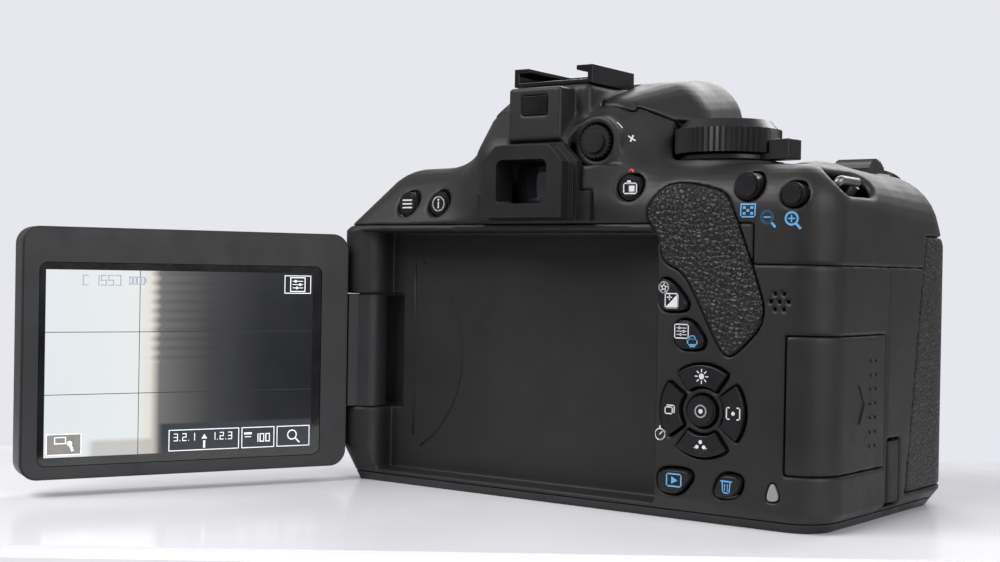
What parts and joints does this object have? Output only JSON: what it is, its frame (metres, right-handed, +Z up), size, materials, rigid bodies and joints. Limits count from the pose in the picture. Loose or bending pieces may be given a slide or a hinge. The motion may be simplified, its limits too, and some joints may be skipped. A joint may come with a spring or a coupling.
{
  "type": "dslr camera",
  "caption": "Single-lens reflex camera body with a swing-out tilting rear screen, pop-up flash, accessory shoe and open bayonet lens mount.",
  "frame": {"origin": "mouth of the tripod socket, on the plane that the camera stands on, under the lens axis", "axes": "+Z up; -Y out of the lens mount, towards the subject; +Y to the rear; +X to the screen hinge side; the grip is at -X"},
  "size_m": [0.1701, 0.142, 0.0997],
  "materials": {
    "body_plastic": "fine grain, satin",
    "base_plastic": "satin",
    "button_plastic": "semi-gloss",
    "grip_skin": "leather texture",
    "soft_rubber": "matte",
    "shoe_black": "gloss black",
    "mount_steel": "brushed",
    "screw_steel": "brushed",
    "frame_alloy": "cast",
    "board_green": "solder mask",
    "contact_gold": "gold plated",
    "inner_black": "flat black",
    "mirror_face": "front-coated",
    "clear_optic": "coated",
    "frosted_optic": "frosted",
    "screen_face": "black glass over a display",
    "sensor_face": "filter glass",
    "shutter_black": "blades",
    "battery_case": "satin",
    "card_case": "satin",
    "lamp_clear": "translucent"
  },
  "bodies": {
    "camera_body": {"front_cover": "body_plastic", "rear_cover": "body_plastic", "top_cover": "body_plastic", "bottom_cover": "base_plastic", "grip_rubber": "grip_skin", "thumb_rubber": "grip_skin", "chassis": "frame_alloy", "main_board": "board_green", "cover_screws": "screw_steel", "lens_mount_ring": "mount_steel", "mount_contacts": "contact_gold", "mirror_box": "inner_black", "focusing_screen": "frosted_optic", "pentamirror": "clear_optic", "shutter_unit": "shutter_black", "image_sensor": "sensor_face", "battery": "battery_case", "memory_card": "card_case", "tripod_socket": "mount_steel", "eyepiece_frame": "soft_rubber", "eyepiece_lens": "clear_optic", "display_off_sensor": "inner_black", "hot_shoe": "shoe_black", "access_lamp": "lamp_clear", "strap_lugs": "screw_steel"},
    "screen_arm": {"hinge_block": "body_plastic"},
    "screen_panel": {"screen_bezel": "body_plastic", "screen_back": "body_plastic", "screen_glass": "screen_face"},
    "flash": {"flash_head": "body_plastic", "flash_window": "frosted_optic"},
    "mode_dial": {"mode_dial": "button_plastic"},
    "power_lever": {"power_lever": "button_plastic"},
    "main_dial": {"main_dial": "button_plastic"},
    "diopter_knob": {"diopter_knob": "button_plastic"},
    "shutter_button": {"shutter_button": "button_plastic"},
    "iso_button": {"iso_button": "button_plastic"},
    "flash_button": {"flash_button": "button_plastic"},
    "lens_release_button": {"lens_release_button": "button_plastic"},
    "lens_lock_pin": {"lens_lock_pin": "mount_steel"},
    "main_mirror": {"main_mirror": "mirror_face"},
    "sub_mirror": {"sub_mirror": "mirror_face"},
    "card_door": {"card_door": "body_plastic"},
    "battery_door": {"battery_door": "base_plastic"},
    "terminal_cover": {"terminal_cover": "soft_rubber"},
    "cord_flap": {"cord_flap": "soft_rubber"},
    "menu_button": {"menu_button": "button_plastic"},
    "info_button": {"info_button": "button_plastic"},
    "live_view_button": {"live_view_button": "button_plastic"},
    "ae_lock_button": {"ae_lock_button": "button_plastic"},
    "af_point_button": {"af_point_button": "button_plastic"},
    "exposure_button": {"exposure_button": "button_plastic"},
    "quick_menu_button": {"quick_menu_button": "button_plastic"},
    "key_up": {"key_up": "button_plastic"},
    "key_right": {"key_right": "button_plastic"},
    "key_down": {"key_down": "button_plastic"},
    "key_left": {"key_left": "button_plastic"},
    "set_button": {"set_button": "button_plastic"},
    "playback_button": {"playback_button": "button_plastic"},
    "erase_button": {"erase_button": "button_plastic"}
  },
  "joints": [
    {"name": "screen_swing", "type": "hinge", "parent": "camera_body", "child": "screen_arm", "pos_m": [0.0544, 0.0264, 0.0324], "axis": [0, 0, 1], "range_deg": [-63.3, 116.7]},
    {"name": "screen_tilt", "type": "hinge", "parent": "screen_arm", "child": "screen_panel", "pos_m": [0.05561, 0.02579, 0.0324], "axis": [0.4493, 0.8934, 0], "range_deg": [-90, 180]},
    {"name": "flash_popup", "type": "hinge", "parent": "camera_body", "child": "flash", "pos_m": [0, 0.0224, 0.0904], "axis": [-1, 0, 0], "range_deg": [0, 70]},
    {"name": "mode_dial_turn", "type": "hinge", "parent": "camera_body", "child": "mode_dial", "pos_m": [-0.0372, 0.012, 0.08], "axis": [0, 0, 1], "continuous": true},
    {"name": "power_switch_turn", "type": "hinge", "parent": "camera_body", "child": "power_lever", "pos_m": [-0.0372, 0.012, 0.078], "axis": [0, 0, 1], "range_deg": [0, 32]},
    {"name": "main_dial_turn", "type": "hinge", "parent": "camera_body", "child": "main_dial", "pos_m": [-0.057, -0.015, 0.0727], "axis": [1, 0, 0], "continuous": true},
    {"name": "diopter_turn", "type": "hinge", "parent": "camera_body", "child": "diopter_knob", "pos_m": [-0.0136, 0.029, 0.0816], "axis": [0, 1, 0], "range_deg": [-150, 150]},
    {"name": "shutter_press", "type": "slide", "parent": "camera_body", "child": "shutter_button", "axis": [0, 0.4695, -0.8829], "range_m": [0, 0.0012], "stiffness_N_per_m": 600},
    {"name": "iso_press", "type": "slide", "parent": "camera_body", "child": "iso_button", "axis": [0, 0, -1], "range_m": [0, 0.0006], "stiffness_N_per_m": 600},
    {"name": "flash_button_press", "type": "slide", "parent": "camera_body", "child": "flash_button", "axis": [0, 1, 0], "range_m": [0, 0.0008], "stiffness_N_per_m": 600},
    {"name": "lens_release_press", "type": "slide", "parent": "camera_body", "child": "lens_release_button", "axis": [0, 1, 0], "range_m": [0, 0.0022], "stiffness_N_per_m": 600},
    {"name": "lens_lock_slide", "type": "slide", "parent": "camera_body", "child": "lens_lock_pin", "axis": [0, 1, 0], "range_m": [0, 0.0022]},
    {"name": "main_mirror_flip", "type": "hinge", "parent": "camera_body", "child": "main_mirror", "pos_m": [0, 0.0032, 0.0506], "axis": [-1, 0, 0], "range_deg": [0, 45], "stiffness_Nm_per_rad": 0.002},
    {"name": "sub_mirror_fold", "type": "hinge", "parent": "main_mirror", "child": "sub_mirror", "pos_m": [0, -0.00401, 0.04084], "axis": [1, 0, 0], "range_deg": [0, 90]},
    {"name": "card_door_open", "type": "hinge", "parent": "camera_body", "child": "card_door", "pos_m": [-0.0606, 0.032, 0.026], "axis": [0, 0, -1], "range_deg": [0, 100]},
    {"name": "battery_door_open", "type": "hinge", "parent": "camera_body", "child": "battery_door", "pos_m": [-0.0434, -0.013, 0], "axis": [0, -1, 0], "range_deg": [0, 90]},
    {"name": "terminal_cover_open", "type": "hinge", "parent": "camera_body", "child": "terminal_cover", "pos_m": [0.06, -0.007, 0.039], "axis": [0, 0, -1], "range_deg": [0, 110]},
    {"name": "cord_flap_open", "type": "hinge", "parent": "camera_body", "child": "cord_flap", "pos_m": [-0.0719, -0.0045, 0.01], "axis": [0, 0, 1], "range_deg": [0, 100]},
    {"name": "menu_press", "type": "slide", "parent": "camera_body", "child": "menu_button", "axis": [0, -1, 0], "range_m": [0, 0.0006], "stiffness_N_per_m": 600},
    {"name": "info_press", "type": "slide", "parent": "camera_body", "child": "info_button", "axis": [0, -1, 0], "range_m": [0, 0.0006], "stiffness_N_per_m": 600},
    {"name": "live_view_press", "type": "slide", "parent": "camera_body", "child": "live_view_button", "axis": [0, -1, 0], "range_m": [0, 0.0006], "stiffness_N_per_m": 600},
    {"name": "ae_lock_press", "type": "slide", "parent": "camera_body", "child": "ae_lock_button", "axis": [0, -1, 0], "range_m": [0, 0.0006], "stiffness_N_per_m": 600},
    {"name": "af_point_press", "type": "slide", "parent": "camera_body", "child": "af_point_button", "axis": [0, -1, 0], "range_m": [0, 0.0006], "stiffness_N_per_m": 600},
    {"name": "exposure_press", "type": "slide", "parent": "camera_body", "child": "exposure_button", "axis": [0, -1, 0], "range_m": [0, 0.0006], "stiffness_N_per_m": 600},
    {"name": "quick_menu_press", "type": "slide", "parent": "camera_body", "child": "quick_menu_button", "axis": [0, -1, 0], "range_m": [0, 0.0006], "stiffness_N_per_m": 600},
    {"name": "key_up_press", "type": "slide", "parent": "camera_body", "child": "key_up", "axis": [0, -1, 0], "range_m": [0, 0.0006], "stiffness_N_per_m": 600},
    {"name": "key_right_press", "type": "slide", "parent": "camera_body", "child": "key_right", "axis": [0, -1, 0], "range_m": [0, 0.0006], "stiffness_N_per_m": 600},
    {"name": "key_down_press", "type": "slide", "parent": "camera_body", "child": "key_down", "axis": [0, -1, 0], "range_m": [0, 0.0006], "stiffness_N_per_m": 600},
    {"name": "key_left_press", "type": "slide", "parent": "camera_body", "child": "key_left", "axis": [0, -1, 0], "range_m": [0, 0.0006], "stiffness_N_per_m": 600},
    {"name": "set_press", "type": "slide", "parent": "camera_body", "child": "set_button", "axis": [0, -1, 0], "range_m": [0, 0.0006], "stiffness_N_per_m": 600},
    {"name": "playback_press", "type": "slide", "parent": "camera_body", "child": "playback_button", "axis": [0, -1, 0], "range_m": [0, 0.0006], "stiffness_N_per_m": 600},
    {"name": "erase_press", "type": "slide", "parent": "camera_body", "child": "erase_button", "axis": [0, -1, 0], "range_m": [0, 0.0006], "stiffness_N_per_m": 600}
  ],
  "couplings": [
    {"joint": "lens_lock_slide", "follows": "lens_release_press", "ratio": 1},
    {"joint": "sub_mirror_fold", "follows": "main_mirror_flip", "ratio": 2}
  ]
}
